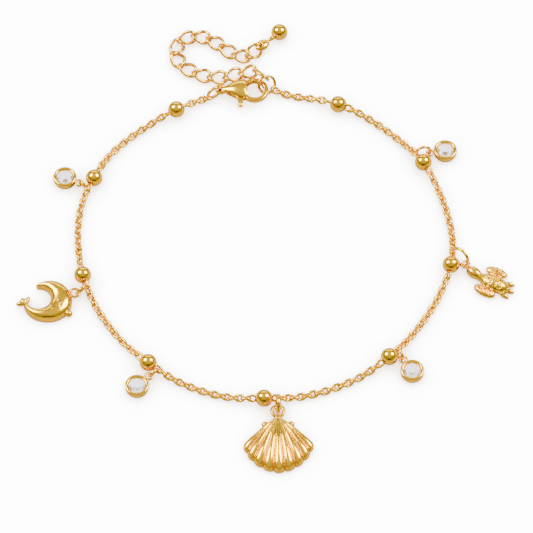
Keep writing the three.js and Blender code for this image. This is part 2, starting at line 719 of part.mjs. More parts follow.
// ---------------------------------------------------------------- hanging the charms
const CHARMS = {
  drop: {
    nodes: [
      { suffix: "_setting", geometry: dropSetting, material: gold },
      { suffix: "_stone", geometry: stoneGeometry, material: crystal },
    ],
    loop: DROP.loop,
    loopWire: DROP.loopWire,
    loopZ: DROP.loopZ,
  },
  shell: {
    nodes: [{ suffix: "_charm", geometry: shellGeometry, material: gold }],
    loop: SHELL.loop,
    loopWire: SHELL.loopWire,
    loopZ: SHELL.loopZ,
  },
  dolphin: {
    nodes: [{ suffix: "_charm", geometry: dolphinGeometry, material: gold }],
    loop: DOLPHIN.loop,
    loopWire: DOLPHIN.loopWire,
    loopZ: DOLPHIN.loopZ,
  },
  turtle: {
    nodes: [{ suffix: "_charm", geometry: turtleGeometry, material: gold }],
    loop: TURTLE_LOOP.radius,
    loopWire: TURTLE_LOOP.wire,
    loopZ: TURTLE_LOOP.z,
  },
};

// The jump ring through a link of the chain and through the charm's loop, with the charm beyond it.
function hang({ name, make, bead, along, ring, wire, heading, lean, lies }) {
  const kind = CHARMS[make];
  const link = route.at(beadStops.find((stop) => stop.name === bead).s + along);
  const out = bearing(heading);
  const side = bearing(heading + 90);
  const cosLean = Math.cos(radians(lean));
  const up = side.clone().multiplyScalar(Math.sin(radians(lean))).addScaledVector(Z_AXIS, cosLean);
  const radius = (ring - wire) / 2;
  const ringZ = radius * cosLean + wire / 2 + 0.01;
  const chainRise = (ringZ - link.z) / cosLean;
  const centre = link
    .clone()
    .addScaledVector(out, Math.sqrt(radius ** 2 - chainRise ** 2))
    .addScaledVector(up, chainRise);
  const room = radius - wire / 2 - kind.loopWire / 2 / cosLean - FIT_GAP;
  const loopRise = (ringZ - kind.loopZ) / cosLean;
  const toWire = Math.sqrt(Math.max(0, room ** 2 - loopRise ** 2));
  const hole = centre
    .clone()
    .addScaledVector(up, -loopRise)
    .addScaledVector(out, toWire)
    .addScaledVector(bearing(lies), kind.loop)
    .setZ(0);
  const pieces = kind.nodes.map(({ suffix, geometry, material }) => {
    const piece = named(name + suffix, geometry(), material());
    piece.rotation.z = radians(lies);
    piece.position.copy(hole);
    return piece;
  });
  return [ringInPlane(`${name}_ring`, { outer: ring, wire }, centre, out, up), ...pieces];
}

// ---------------------------------------------------------------- assembly
const anklet = new THREE.Group();
const hanging = HANGING.flatMap(hang);
const claspRings = [tailRing(), hookRing()];
const rings = [...claspRings, ...hanging.filter((piece) => piece.outer)];

for (const bead of beadStops) anklet.add(placeBead(bead));
const clear = BEAD.radius + BEAD.gap;
const starts = [0, ...beadStops.map((bead) => bead.s + clear)];
const ends = [...beadStops.map((bead) => bead.s - clear), route.length];
starts.forEach((from, i) => anklet.add(named(`chain_${i + 1}`, chainRun(from, ends[i], rings))));

const clasp = new THREE.Group();
clasp.add(named("clasp_body", geometryOf(claspBody())));
clasp.add(named("clasp_lever", geometryOf(claspLever())));
clasp.position.copy(HOOK_CENTRE);
clasp.rotation.z = CLASP_YAW;
anklet.add(clasp, ...claspRings, ...extenderLinks(), endDrop(), ...hanging);

export default anklet;
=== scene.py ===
# %% [markdown]
# # Gold charm anklet
# A fine cable chain with round beads, three cast sea charms, four crystal drops, a sprung lobster
# clasp and an extender of twisted curb links, lying fastened on a white table. Every piece is small
# polished metal, so the picture is made by what the metal mirrors: big soft white lights, a pale
# table and a little darkness between them.

# %% Load the frame
import math
import random

import bpy
import numpy as np
from mathutils import Matrix, Vector


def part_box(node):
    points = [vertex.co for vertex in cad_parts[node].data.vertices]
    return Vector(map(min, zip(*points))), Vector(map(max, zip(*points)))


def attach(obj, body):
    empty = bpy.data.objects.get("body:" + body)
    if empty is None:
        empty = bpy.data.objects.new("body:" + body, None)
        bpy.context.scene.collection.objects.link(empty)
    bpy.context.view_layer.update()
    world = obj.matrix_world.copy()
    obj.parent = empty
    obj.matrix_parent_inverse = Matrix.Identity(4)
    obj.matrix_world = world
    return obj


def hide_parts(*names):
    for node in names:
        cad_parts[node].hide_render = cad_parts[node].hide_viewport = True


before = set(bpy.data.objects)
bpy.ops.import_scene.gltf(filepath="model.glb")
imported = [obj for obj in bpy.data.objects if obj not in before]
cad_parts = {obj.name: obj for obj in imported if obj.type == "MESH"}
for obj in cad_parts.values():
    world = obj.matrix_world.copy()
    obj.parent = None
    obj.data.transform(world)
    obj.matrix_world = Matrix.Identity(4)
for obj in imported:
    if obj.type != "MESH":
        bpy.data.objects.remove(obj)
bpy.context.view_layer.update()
random.seed(7)
MM = 0.001

# %% [markdown]
# ## Placing things
# Everything is modelled in millimetres and scaled down once, when it becomes an object. A piece rides
# on one of the frame's two bodies, the anklet or the clasp's lever.


# %% Helpers for meshes
def unit(v):
    return v / np.linalg.norm(v)


def heading(degrees):
    return np.array([math.cos(math.radians(degrees)), math.sin(math.radians(degrees)), 0.0])


UP = np.array([0.0, 0.0, 1.0])


class Soup:
    """Vertices and faces of many small parts, gathered into one mesh."""

    def __init__(self):
        self.verts, self.faces, self.count = [], [], 0

    def add(self, verts, faces):
        self.verts.append(np.asarray(verts, float))
        self.faces.extend([tuple(i + self.count for i in face) for face in faces])
        self.count += len(verts)
        return self

    def mesh(self, name):
        data = bpy.data.meshes.new(name)
        data.from_pydata([tuple(v) for v in np.vstack(self.verts)], [], self.faces)
        data.update()
        return data


def place(name, mesh, material, body="anklet", nodes=(), smooth=True):
    """Turns a mesh in millimetres into a piece of the anklet that stands for the given CAD nodes."""
    name = name.replace(" ", "_")
    mesh.transform(Matrix.Scale(MM, 4))
    mesh.polygons.foreach_set("use_smooth", [smooth] * len(mesh.polygons))
    mesh.materials.clear()
    mesh.materials.append(material)
    obj = bpy.data.objects.new(name, mesh)
    bpy.context.scene.collection.objects.link(obj)
    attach(obj, body)
    if nodes:
        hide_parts(*nodes)
    return obj


def node_points(node):
    """The CAD node's vertices, in millimetres."""
    return np.array([v.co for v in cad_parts[node].data.vertices]) / MM


# %% [markdown]
# ## Gold
# Polished gold plating is a smooth metal whose colour is its reflectance: strong in red and green,
# weak in blue. Real plating on small castings is never perfect: fine wipe marks vary the gloss and
# a slight waviness breaks up the reflections, so both are driven by noise at the scale of the part.

# %% Shader node groups
GOLD_COLOUR = (1.0, 0.585, 0.012, 1.0)
GOLD_DEEP = (0.96, 0.50, 0.005, 1.0)


def group(name, inputs, outputs):
    tree = bpy.data.node_groups.new(name, "ShaderNodeTree")
    for label, kind, value in inputs:
        socket = tree.interface.new_socket(label, in_out="INPUT", socket_type=kind)
        if value is not None:
            socket.default_value = value
    for label, kind in outputs:
        tree.interface.new_socket(label, in_out="OUTPUT", socket_type=kind)
    return tree, tree.nodes.new("NodeGroupInput"), tree.nodes.new("NodeGroupOutput")


def noise(tree, scale, detail=2.0):
    coords = tree.nodes.new("ShaderNodeTexCoord")
    node = tree.nodes.new("ShaderNodeTexNoise")
    node.inputs["Scale"].default_value = scale
    node.inputs["Detail"].default_value = detail
    tree.links.new(coords.outputs["Object"], node.inputs["Vector"])
    return node


def remap(tree, value, low, high):
    node = tree.nodes.new("ShaderNodeMapRange")
    node.inputs["To Min"].default_value = low
    node.inputs["To Max"].default_value = high
    tree.links.new(value, node.inputs["Value"])
    return node


wear, wear_in, wear_out = group(
    "Plating wear",
    [("Gloss", "NodeSocketFloat", 0.1), ("Spread", "NodeSocketFloat", 0.06)],
    [("Roughness", "NodeSocketFloat"), ("Tone", "NodeSocketFloat")],
)
wipe = noise(wear, 900.0, 3.0)
spread = wear.nodes.new("ShaderNodeMath")
spread.operation = "MULTIPLY_ADD"
wear.links.new(wipe.outputs["Fac"], spread.inputs[0])
wear.links.new(wear_in.outputs["Spread"], spread.inputs[1])
wear.links.new(wear_in.outputs["Gloss"], spread.inputs[2])
wear.links.new(spread.outputs[0], wear_out.inputs["Roughness"])
tone = remap(wear, noise(wear, 350.0).outputs["Fac"], 0.0, 0.6)
wear.links.new(tone.outputs["Result"], wear_out.inputs["Tone"])

ripple, ripple_in, ripple_out = group(
    "Cast ripple",
    [("Scale", "NodeSocketFloat", 1200.0)],
    [("Height", "NodeSocketFloat")],
)
ripple_noise = noise(ripple, 1200.0, 1.0)
ripple.links.new(ripple_in.outputs["Scale"], ripple_noise.inputs["Scale"])
ripple.links.new(ripple_noise.outputs["Fac"], ripple_out.inputs["Height"])


# %% Gold materials
def gold_material(name, gloss, spread_by, ripple_scale, ripple_height):
    material = bpy.data.materials.new(name)
    material.use_nodes = True
    tree = material.node_tree
    shader = tree.nodes["Principled BSDF"]
    shader.inputs["Metallic"].default_value = 1.0
    worn = tree.nodes.new("ShaderNodeGroup")
    worn.node_tree = wear
    worn.inputs["Gloss"].default_value = gloss
    worn.inputs["Spread"].default_value = spread_by
    tree.links.new(worn.outputs["Roughness"], shader.inputs["Roughness"])
    mix = tree.nodes.new("ShaderNodeMix")
    mix.data_type = "RGBA"
    mix.inputs["A"].default_value = GOLD_COLOUR
    mix.inputs["B"].default_value = GOLD_DEEP
    tree.links.new(worn.outputs["Tone"], mix.inputs["Factor"])
    tree.links.new(mix.outputs["Result"], shader.inputs["Base Color"])
    cast = tree.nodes.new("ShaderNodeGroup")
    cast.node_tree = ripple
    cast.inputs["Scale"].default_value = ripple_scale
    bump = tree.nodes.new("ShaderNodeBump")
    bump.inputs["Distance"].default_value = ripple_height * MM
    bump.inputs["Strength"].default_value = 0.6
    tree.links.new(cast.outputs["Height"], bump.inputs["Height"])
    tree.links.new(bump.outputs["Normal"], shader.inputs["Normal"])
    return material


bead_gold = gold_material("Bead gold", 0.10, 0.05, 500.0, 0.002)
wire_gold = gold_material("Wire gold", 0.14, 0.06, 1500.0, 0.002)
cast_gold = gold_material("Cast gold", 0.14, 0.06, 900.0, 0.003)

# %% [markdown]
# ## Crystal
# A cut colourless stone is almost all reflection: light that enters the table is turned round by the
# back facets and comes out white, with a few dark and lavender facets. The stones are backed by a
# silvered cup, as foil-backed drops are, so that they don't take the colour of the gold round them.
# That cup glows white to lavender-grey, which is painted light: the stones' whiteness is partly this glow.

# %% Crystal materials
crystal = bpy.data.materials.new("Crystal")
crystal.use_nodes = True
crystal_shader = crystal.node_tree.nodes["Principled BSDF"]
crystal_shader.inputs["Base Color"].default_value = (1.0, 1.0, 1.0, 1.0)
crystal_shader.inputs["Transmission Weight"].default_value = 1.0
crystal_shader.inputs["Roughness"].default_value = 0.0
crystal_shader.inputs["IOR"].default_value = 1.5

FOIL_GLOW_WHITE, FOIL_GLOW_LAVENDER = (1.0, 0.97, 0.98, 1.0), (0.55, 0.50, 0.60, 1.0)
foil = bpy.data.materials.new("Foil")
foil.use_nodes = True
foil_shader = foil.node_tree.nodes["Principled BSDF"]
foil_shader.inputs["Metallic"].default_value = 0.35
foil_shader.inputs["Roughness"].default_value = 0.25
foil_glow_mix = foil.node_tree.nodes.new("ShaderNodeMix")
foil_glow_mix.data_type = "RGBA"
foil_glow_mix.inputs["A"].default_value = FOIL_GLOW_WHITE
foil_glow_mix.inputs["B"].default_value = FOIL_GLOW_LAVENDER
foil_worn = foil.node_tree.nodes.new("ShaderNodeGroup")
foil_worn.node_tree = wear
foil.node_tree.links.new(foil_worn.outputs["Tone"], foil_glow_mix.inputs["Factor"])
foil.node_tree.links.new(foil_glow_mix.outputs["Result"], foil_shader.inputs["Base Color"])
# Painted light: the foil glows in its own white to lavender-grey tones, and this glow makes much of the
# stones' whiteness.
foil.node_tree.links.new(foil_glow_mix.outputs["Result"], foil_shader.inputs["Emission Color"])
foil_shader.inputs["Emission Strength"].default_value = 1.6

# %% [markdown]
# ## The chain's route
# The chain is laid on the table as a loose circle and climbs to the middle of each bead. The same
# stations as the frame's give the same route, and every link is placed by its distance along it.

# %% Route
LOOP_CENTRE = np.array([0.0, -1.3, 0.0])
STATIONS = [  # bearing in degrees, radius in mm, whether a bead is threaded there
    (106.9, 33.2, 0), (107.9, 33.2, 0), (111.5, 33.2, 0), (119.4, 32.9, 1), (128.0, 33.2, 0),
    (136.5, 33.6, 0), (145.5, 34.0, 0), (154.9, 33.7, 1), (163.0, 33.9, 0), (171.5, 33.5, 0),
    (180.5, 32.9, 0), (189.8, 32.5, 1), (200.5, 31.8, 0), (210.5, 31.2, 0), (220.0, 30.8, 0),
    (228.4, 30.6, 1), (238.5, 30.3, 0), (249.5, 30.1, 0), (259.5, 29.9, 0), (269.2, 29.8, 1),
    (280.5, 29.7, 0), (291.5, 29.8, 0), (302.5, 30.0, 0), (314.2, 30.3, 1), (325.0, 30.4, 0),
    (335.5, 30.9, 0), (345.0, 31.6, 0), (353.9, 32.4, 1), (363.5, 32.7, 0), (373.0, 32.7, 0),
    (382.5, 32.8, 0), (392.2, 32.9, 1), (401.0, 32.8, 0), (410.0, 32.7, 0), (418.5, 32.7, 0),
    (426.6, 32.4, 1), (434.0, 32.4, 0), (439.5, 32.3, 0), (443.5, 32.5, 0), (447.9, 33.45, 0),
    (448.8, 33.75, 0),
]
BEAD_RADIUS, CHAIN_REST, CHAIN_REACH, BEAD_GAP = 1.5, 0.67, 7.0, 0.12
PER_SPAN = 24


def smooth_route(points):
    """Points along a smooth curve through the given ones."""
    points = [np.array(p, float) for p in points]
    points = [2 * points[0] - points[1], *points, 2 * points[-1] - points[-2]]
    out = []
    for i in range(1, len(points) - 2):
        p0, p1, p2, p3 = points[i - 1 : i + 3]
        for j in range(PER_SPAN):
            t = j / PER_SPAN
            out.append(
                0.5
                * (
                    2 * p1
                    + (p2 - p0) * t
                    + (2 * p0 - 5 * p1 + 4 * p2 - p3) * t**2
                    + (3 * p1 - p0 - 3 * p2 + p3) * t**3
                )
            )
    return np.array([*out, points[-2]])


class Walk:
    """Places on a route by the distance walked along it."""

    def __init__(self, points):
        self.points = np.array(points)
        steps = np.linalg.norm(np.diff(self.points, axis=0), axis=1)
        self.walked = np.concatenate([[0], np.cumsum(steps)])
        self.length = self.walked[-1]

    def at(self, s):
        return np.array([np.interp(s, self.walked, self.points[:, k]) for k in range(3)])

    def along(self, s):
        return unit(self.at(s + 0.05) - self.at(s - 0.05))


flat = Walk(smooth_route([LOOP_CENTRE + radius * heading(b) for b, radius, _ in STATIONS]))
flat_stops = [flat.walked[i * PER_SPAN] for i, (_, _, bead) in enumerate(STATIONS) if bead]
lifted = flat.points.copy()
for i, s in enumerate(flat.walked):
    near = 1 - min(min(abs(s - stop) for stop in flat_stops) / CHAIN_REACH, 1)
    rise = near * near * (3 - 2 * near)
    lifted[i, 2] = CHAIN_REST + (BEAD_RADIUS - CHAIN_REST) * rise
route = Walk(lifted)
bead_stops = [route.walked[i * PER_SPAN] for i, (_, _, bead) in enumerate(STATIONS) if bead]
print("loop of chain", round(route.length, 1), "mm, beads at", [round(s, 1) for s in bead_stops])

# %% [markdown]
# ## Cable chain
# Each link is an oval of round wire, and each is turned a quarter turn from its neighbours so that
# they thread through one another. A chain at rest rolls until its links lie slanting to the table.

# %% Chain links
LINK = {"length": 1.98, "width": 1.5, "wire": 0.5, "pitch": 1.06}
LINK_AROUND, WIRE_AROUND = 20, 8


def wire_loop(centres, radius, around=WIRE_AROUND):
    """Vertices and faces of round wire bent through a closed ring of points."""
    n = len(centres)
    centres = np.array(centres)
    middle = centres.mean(axis=0)
    verts = []
    for i in range(n):
        tangent = unit(centres[(i + 1) % n] - centres[i - 1])
        outward = centres[i] - middle
        outward = unit(outward - tangent * outward.dot(tangent))
        side = np.cross(tangent, outward)
        for k in range(around):
            a = 2 * math.pi * k / around
            verts.append(centres[i] + radius * (math.cos(a) * outward + math.sin(a) * side))
    faces = []
    for i in range(n):
        for k in range(around):
            a, b = i * around + k, i * around + (k + 1) % around
            c, d = ((i + 1) % n) * around + (k + 1) % around, ((i + 1) % n) * around + k
            faces.append((a, d, c, b))
    return verts, faces


def oval(centre, along, across, length, width, count):
    """Points round an oval with straight sides, length along and width across."""
    end, straight = width / 2, max(0.0, (length - width) / 2)
    out = []
    for i in range(count):
        a = 2 * math.pi * i / count
        shift = straight if math.cos(a) > 1e-6 else -straight if math.cos(a) < -1e-6 else 0.0
        out.append(centre + along * (end * math.cos(a) + shift) + across * end * math.sin(a))
    return out


def cable(start, end, roll=45.0):
    """Links of cable chain that fill the route from start to end."""
    soup = Soup()
    count = max(1, round((end - start - LINK["length"]) / LINK["pitch"]))
    pitch = (end - start - LINK["length"]) / count
    for i in range(count + 1):
        s = start + LINK["length"] / 2 + i * pitch
        along = route.along(s)
        level = unit(np.cross(UP, along))
        turn = math.radians(roll + 90 * (i % 2) + random.uniform(-9, 9))
        across = level * math.cos(turn) + np.cross(along, level) * math.sin(turn)
        length, width = LINK["length"] - LINK["wire"], LINK["width"] - LINK["wire"]
        ring = oval(route.at(s), along, across, length, width, LINK_AROUND)
        soup.add(*wire_loop(ring, LINK["wire"] / 2))
    return soup, count + 1


clear = BEAD_RADIUS + BEAD_GAP
run_starts = [0.0] + [s + clear - 0.55 for s in bead_stops]
run_ends = [s - clear + 0.55 for s in bead_stops] + [route.length]
links = 0
for i, (start, end) in enumerate(zip(run_starts, run_ends)):
    soup, made = cable(start, end)
    place(f"chain run {i + 1}", soup.mesh("chain"), wire_gold, nodes=[f"chain_{i + 1}"])
    links += made
print("links of cable chain:", links)

# %% [markdown]
# ## Beads
# Hollow round beads are pressed from two cups and polished bright, so a plain sphere is right except
# at the holes, where the edge turns in. That small rolled edge catches a thin line of light.


# %% Turned shapes
def lathe(profile, around):
    """A closed surface turned about Z from (radius, height) pairs that make a closed outline."""
    n = len(profile)
    verts = [
        (r * math.cos(2 * math.pi * j / around), r * math.sin(2 * math.pi * j / around), z)
        for j in range(around)
        for r, z in profile
    ]
    faces = []
    for j in range(around):
        for i in range(n):
            a, b = j * n + i, j * n + (i + 1) % n
            c, d = ((j + 1) % around) * n + (i + 1) % n, ((j + 1) % around) * n + i
            faces.append((a, d, c, b))
    return np.array(verts), faces


def turned(points, x_axis, y_axis, z_axis, origin):
    return np.asarray(points) @ np.array([x_axis, y_axis, z_axis]) + origin


# %% Beads
BEAD_BORE, EDGE = 0.45, 0.12
first = math.asin((BEAD_BORE + EDGE) / BEAD_RADIUS)
arc = [first + (math.pi - 2 * first) * i / 30 for i in range(31)]
bead_profile = [(BEAD_RADIUS * math.sin(a), -BEAD_RADIUS * math.cos(a)) for a in arc]
lip = BEAD_RADIUS * math.cos(first)
bead_profile += [(BEAD_BORE + 0.02, lip - 0.02), (BEAD_BORE, lip - 0.12)]
bead_profile += [(BEAD_BORE, -lip + 0.12), (BEAD_BORE + 0.02, -lip + 0.02)]
bead_verts, bead_faces = lathe(bead_profile, 48)
for i, s in enumerate(bead_stops):
    along = route.along(s)
    along = unit(np.array([along[0], along[1], 0.0]))
    side = np.cross(UP, along)
    origin = route.at(s)
    origin[2] = BEAD_RADIUS
    verts = turned(bead_verts, side, UP, along, origin)
    bead = Soup().add(verts, [face[::-1] for face in bead_faces])
    place(f"bead {i + 1}", bead.mesh("bead"), bead_gold, nodes=[f"bead_{i + 1}"])

# %% [markdown]
# ## Rings and extender
# Jump rings are round wire closed with a butt joint. The extender's curb links are ovals that have
# been twisted so that each lies flat against the next.


# %% Rings
RING_STOUTER = 1.3


def ring_frame(node):
    """Centre, radius, wire and two directions in the plane of a ring, measured from its CAD node."""
    points = node_points(node)
    centre = points.mean(axis=0)
    _, _, axes = np.linalg.svd(points - centre, full_matrices=False)
    distances = np.linalg.norm((points - centre) @ axes[:2].T, axis=1)
    thick = np.ptp((points - centre) @ axes[2])
    return centre, (distances.max() + distances.min()) / 2, thick, axes[0], axes[1]


def ring_piece(node, name):
    centre, radius, thin, one, two = ring_frame(node)
    wire = thin * RING_STOUTER
    radius -= (wire - thin) / 2
    angles = [2 * math.pi * i / 72 for i in range(72)]
    points = [centre + radius * (math.cos(a) * one + math.sin(a) * two) for a in angles]
    soup = Soup().add(*wire_loop(points, wire / 2, 16))
    place(name, soup.mesh("ring"), wire_gold, nodes=[node])
    return centre


HUNG = ["drop_1", "drop_2", "drop_3", "drop_4", "dolphin", "shell", "turtle"]
for owner in HUNG:
    ring_piece(f"{owner}_ring", f"jump ring {owner}")
for end in ("tail_ring", "hook_ring"):
    ring_piece(end, end.replace("_", " "))

# %% Extender links
CURB = {"pitch": 2.9, "width": 2.95, "wire": 0.6, "slack": 0.0, "count": 14, "lift": 0.03}
EXTENDER_ROUTE = [
    (-0.05, 33.2, 2.7), (-2.4, 35.5, 1.8), (-5.2, 35.2, 1.1), (-8.6, 34.4, 0.8), (-11.6, 35.1, 0.8),
    (-14.3, 36.3, 0.8), (-16.2, 38.3, 0.8), (-16.6, 41.0, 0.8), (-14.8, 43.3, 0.8),
    (-11.8, 43.6, 0.8), (-9.1, 42.2, 0.8), (-6.9, 40.3, 0.8), (-4.6, 38.8, 0.8), (-2.2, 39.6, 0.95),
    (-0.8, 41.9, 1.25),
]
extender = Walk(smooth_route(EXTENDER_ROUTE))


def curb_link(start, end, first_twist, last_twist):
    along = end - start
    reach = np.linalg.norm(along) / 2 + CURB["wire"] / 2 + CURB["slack"] / 2
    along = unit(along)
    level = unit(np.cross(UP, along))
    upright = np.cross(along, level)
    half = (CURB["width"] - CURB["wire"]) / 2
    start, end = start + UP * CURB["lift"], end + UP * CURB["lift"]
    points = []
    for i in range(48):
        a = 2 * math.pi * i / 48
        share = (1 + math.cos(a)) / 2
        twist = math.radians(first_twist + (last_twist - first_twist) * share)
        across = level * math.cos(twist) + upright * math.sin(twist)
        points.append(
            (start + end) / 2 + along * reach * math.cos(a) + across * half * math.sin(a)
        )
    return wire_loop(points, CURB["wire"] / 2, 14)


for i in range(CURB["count"]):
    start, end = extender.at(i * CURB["pitch"]), extender.at((i + 1) * CURB["pitch"])
    first_twist = 70 if i == 0 else -45
    last_twist = 65 if i == CURB["count"] - 1 else 45
    soup = Soup().add(*curb_link(start, end, first_twist, last_twist))
    node = f"extender_link_{i + 1}"
    place(f"curb link {i + 1}", soup.mesh("link"), wire_gold, nodes=[node])

# %% [markdown]
# ## Castings
# Small castings have soft edges, because the model is wax and the casting is tumbled. Each is built
# from overlapping solids, cut where it needs cutting, and then skinned over at a fine step and
# relaxed, which rounds the joins as polishing does.


# %% Solids to cast from
def ellipsoid(size, at, yaw=0.0, around=40, rows=24):
    """A ball squashed to half lengths size, turned by yaw degrees and moved to at."""
    verts, faces = [(0, 0, -1)], []
    for i in range(1, rows):
        lat = math.pi * i / rows
        for j in range(around):
            a = 2 * math.pi * j / around
            verts.append((math.sin(lat) * math.cos(a), math.sin(lat) * math.sin(a), -math.cos(lat)))
    verts.append((0, 0, 1))
    last = len(verts) - 1
    for j in range(around):
        k = (j + 1) % around
        faces.append((0, 1 + k, 1 + j))
        for i in range(rows - 2):
            a, b = 1 + i * around + j, 1 + i * around + k
            faces.append((a, b, b + around, a + around))
        faces.append((last, last - around + j, last - around + k))
    spin = np.array([heading(yaw), heading(yaw + 90), UP])
    return (np.array(verts) * np.array(size)) @ spin + np.array(at), faces


def torus(radius, wire, at, around=48, sides=16, flatten=1.0):
    angles = [2 * math.pi * i / around for i in range(around)]
    points = [np.array([radius * math.cos(a), radius * math.sin(a), 0.0]) for a in angles]
    verts, faces = wire_loop(points, wire / 2, sides)
    return np.array(verts) * np.array([1, 1, flatten]) + np.array(at), faces


def loft(rings):
    """A closed solid through rings of points of equal length."""
    around = len(rings[0])
    verts = np.vstack(rings)
    faces = []
    for i in range(len(rings) - 1):
        for j in range(around):
            k = (j + 1) % around
            a, b = i * around + j, i * around + k
            faces.append((a, b, b + around, a + around))
    faces.append(tuple(range(around))[::-1])
    last = (len(rings) - 1) * around
    faces.append(tuple(last + j for j in range(around)))
    return verts, faces


def prism(outline, low, high):
    """A plate with the given outline between two heights."""
    rings = [[np.array([x, y, z]) for x, y in outline] for z in (low, high)]
    return loft(rings)


def disc(radius, at, low, high, around=64):
    angles = [2 * math.pi * i / around for i in range(around)]
    return prism([(at[0] + radius * math.cos(a), at[1] + radius * math.sin(a)) for a in angles], low, high)


def temp_object(parts):
    soup = Soup()
    for verts, faces in parts:
        soup.add(verts, faces)
    obj = bpy.data.objects.new("temp", soup.mesh("temp"))
    bpy.context.scene.collection.objects.link(obj)
    data = obj.data
    import bmesh

    bm = bmesh.new()
    bm.from_mesh(data)
    bmesh.ops.recalc_face_normals(bm, faces=bm.faces)
    bm.to_mesh(data)
    bm.free()
    return obj


def cast(parts, cuts=(), step=0.07, relax=6, floor=None):
    """Skins overlapping solids over as one, less the cuts, and relaxes the surface."""
    obj = temp_object(parts)
    tools = []
    skin = obj.modifiers.new("skin", "REMESH")
    skin.mode, skin.voxel_size = "VOXEL", step
    for cut in cuts:
        tool = temp_object([cut])
        tools.append(tool)
        modifier = obj.modifiers.new("cut", "BOOLEAN")
        modifier.operation, modifier.object, modifier.solver = "DIFFERENCE", tool, "EXACT"
    if cuts:
        again = obj.modifiers.new("skin again", "REMESH")
        again.mode, again.voxel_size = "VOXEL", step
    soften = obj.modifiers.new("soften", "SMOOTH")
    soften.factor, soften.iterations = 0.5, relax
    bpy.context.view_layer.update()
    evaluated = obj.evaluated_get(bpy.context.evaluated_depsgraph_get())
    mesh = bpy.data.meshes.new_from_object(evaluated)
    for old in (obj, *tools):
        bpy.data.objects.remove(old)
    if floor is not None:
        for vertex in mesh.vertices:
            vertex.co.z = max(vertex.co.z, floor)
    return mesh


def engrave(mesh, lines, width, depth, above=0.9):
    """Presses lines into the upper side of a casting, with soft edges."""
    points = np.array([v.co for v in mesh.vertices])
    sunk = np.zeros(len(points))
    for start, end in lines:
        way = (end - start)[:2]
        share = np.clip(((points[:, :2] - start[:2]) @ way) / way.dot(way), 0, 1)
        away = np.linalg.norm(points[:, :2] - start[:2] - share[:, None] * way, axis=1)
        near = np.clip(1 - away / width, 0, 1)
        sunk = np.maximum(sunk, near * near * (3 - 2 * near))
    points[:, 2] -= depth * sunk * np.clip((points[:, 2] - above) / 0.1, 0, 1)
    mesh.vertices.foreach_set("co", points.ravel())
    mesh.update()


def move(mesh, degrees, at):
    mesh.transform(Matrix.Translation(Vector(at)) @ Matrix.Rotation(math.radians(degrees), 4, "Z"))
    return mesh


# %% [markdown]
# ## Clasp
# The housing is a teardrop with a slot along its front. The hook grows out of its wide end and comes
# round to the gate, which is one piece with the trigger and turns on a pin through the housing.

# %% Clasp measures
HOOK_CENTRE, CLASP_YAW = np.array([-2.1, 31.4, 1.45]), -2.2
PIVOT, SEAM_RADIUS, TAIL_X = (-2.7, -0.2), 3.1, -6.15
HOOK_RADIUS, HOOK_WIDTH, HOOK_THICK, BODY_THICK, SLOT = 2.05, 0.85, 1.1, 2.5, 1.0
HOUSING = [  # place along the clasp, back edge, front edge, share of the full thickness
    (-5.75, 0.4, -0.5, 0.36), (-5.2, 0.75, -0.8, 0.52), (-4.4, 1.4, -1.25, 0.78),
    (-3.4, 2.0, -1.7, 0.95), (-2.5, 2.3, -2.0, 1.0), (-1.7, 2.25, -2.1, 0.9), (-1.1, 1.8, -2.0, 0.66),
]


def housing(swell=1.0):
    rows = smooth_route([(x, back, front) for x, back, front, _ in HOUSING])
    shares = smooth_route([(t, 0, 0) for *_, t in HOUSING])[:, 0]
    rings = []
    for (x, back, front), share in zip(rows[::4], shares[::4]):
        ring = []
        for i in range(40):
            a = 2 * math.pi * i / 40
            y = (back + front) / 2 + (back - front) / 2 * swell * math.cos(a)
            ring.append(np.array([x, y, share * swell * BODY_THICK / 2 * math.sin(a)]))
        rings.append(ring)
    return loft(rings)


def hook_bar(start, end, radius=HOOK_RADIUS, steps=60):
    """Part of the hook's ring, with a soft-cornered section."""
    corner = [(math.cos(a) , math.sin(a)) for a in (2 * math.pi * k / 20 for k in range(20))]
    section = [
        (
            math.copysign(abs(c) ** 0.6, c) * HOOK_WIDTH / 2,
            math.copysign(abs(s) ** 0.6, s) * HOOK_THICK / 2,
        )
        for c, s in corner
    ]
    rings = []
    for i in range(steps + 1):
        out = heading(start + (end - start) * i / steps)
        rings.append([out * (radius + c) + UP * s for c, s in section])
    return loft(rings)


def seam_tool(radius, outside):
    """Everything within radius of the pivot, or everything beyond it, on the gate's side."""
    angles = [math.radians(90 - a) for a in range(-88, 89, 4)]
    arc = [(PIVOT[0] + radius * math.cos(a), PIVOT[1] + radius * math.sin(a)) for a in angles]
    arc = [(x, max(y, 0.6)) for x, y in arc]
    if not outside:
        return prism(arc, -2, 2)
    return prism([*arc, (6, 0.6), (6, 6), (-8, 6), (-8, 0.6)], -2, 2)


# %% Clasp body
slot_area = [(-4.85, -4), (-1.75, -4), (-1.75, -1.2), (-0.2, 0), (-0.2, 3), (-4.85, 3)]
body_shell = cast(
    [housing(), torus(0.74, 0.62, (TAIL_X, 0, 0), flatten=1.5), disc(0.3, PIVOT, -0.6, 0.6)],
    cuts=[disc(HOOK_RADIUS - HOOK_WIDTH / 2, (0, 0), -2, 2), prism(slot_area, -SLOT / 2, SLOT / 2)],
    step=0.06,
    relax=4,
)
print("housing faces", len(body_shell.polygons))
hook = cast([hook_bar(-130, 128)], cuts=[seam_tool(SEAM_RADIUS, False)], step=0.06, relax=3)
pin = cast([disc(0.3, PIVOT, -0.75, 0.75)], step=0.06, relax=2)
for label, mesh, cad in (("housing", body_shell, "clasp_body"), ("hook", hook, "clasp_body"), ("pin", pin, "clasp_body")):
    place(f"clasp {label}", move(mesh, CLASP_YAW, HOOK_CENTRE), cast_gold, nodes=[cad])

